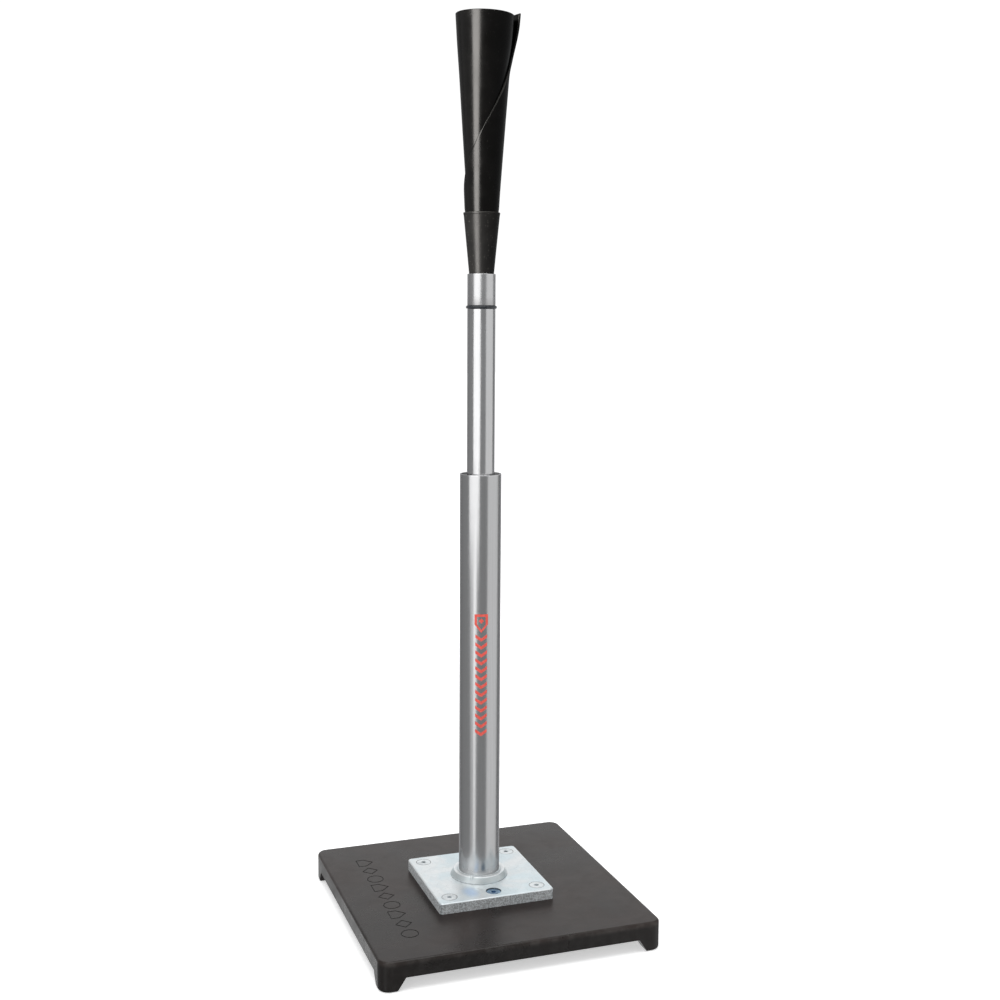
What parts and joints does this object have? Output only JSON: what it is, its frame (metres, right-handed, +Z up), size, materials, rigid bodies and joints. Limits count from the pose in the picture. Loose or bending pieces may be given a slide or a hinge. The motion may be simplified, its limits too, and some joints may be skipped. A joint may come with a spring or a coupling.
{
  "type": "batting tee",
  "caption": "Batting tee: square rubber base with a steel plate, telescoping steel post held by a friction brake, and a lift-off rolled rubber cone that holds the ball.",
  "frame": {"origin": "middle of the base on the floor", "axes": "+Z up along the post, -Y towards the side with the fifth plate screw, +X to the right of someone who faces that side"},
  "size_m": [0.26, 0.26, 0.8271],
  "materials": {
    "base_rubber": "moulded rubber, satin",
    "zinc_plate": "zinc plated, brushed top",
    "post_steel": "polished tube",
    "screw_steel": "zinc plated",
    "blued_steel": "blue passivated",
    "nylon": "natural nylon",
    "black_nylon": "black nylon",
    "inner_steel": "polished tube",
    "ferrule_steel": "turned and polished",
    "brake_rubber": "soft rubber, matt",
    "ring_rubber": "smooth rubber",
    "cone_rubber": "flexible sheet, slight sheen",
    "sleeve_rubber": "moulded rubber, matt"
  },
  "bodies": {
    "base": {"rubber_base": "base_rubber", "mounting_plate": "zinc_plate", "weld_collar": "zinc_plate", "corner_screws": "screw_steel", "front_screw": "blued_steel", "base_washers": "screw_steel", "base_nuts": "screw_steel", "nut_inserts": "nylon", "outer_tube": "post_steel", "bottom_plug": "brake_rubber", "guide_bush": "black_nylon"},
    "brake": {"brake_sleeve": "brake_rubber"},
    "shaft": {"inner_tube": "inner_steel", "brake_ring": "screw_steel", "anchor_plug": "screw_steel", "anchor_pin": "screw_steel", "end_cap": "nylon", "brake_screw": "screw_steel", "brake_washer": "screw_steel"},
    "ball_rest": {"cone_ferrule": "ferrule_steel", "o_ring": "ring_rubber", "neck_sleeve": "sleeve_rubber", "rolled_cone": "cone_rubber", "cone_wedge": "nylon", "stem_stud": "screw_steel", "stem_washer": "screw_steel", "stem_nut": "screw_steel"}
  },
  "joints": [
    {"name": "height_slide", "type": "slide", "parent": "base", "child": "brake", "axis": [0, 0, 1], "range_m": [-0.15, 0.15]},
    {"name": "shaft_turn", "type": "hinge", "parent": "brake", "child": "shaft", "pos_m": [0, 0, 0.212], "axis": [0, 0, 1], "continuous": true},
    {"name": "cone_lift", "type": "slide", "parent": "shaft", "child": "ball_rest", "axis": [0, 0, 1], "range_m": [0, 0.06]}
  ]
}
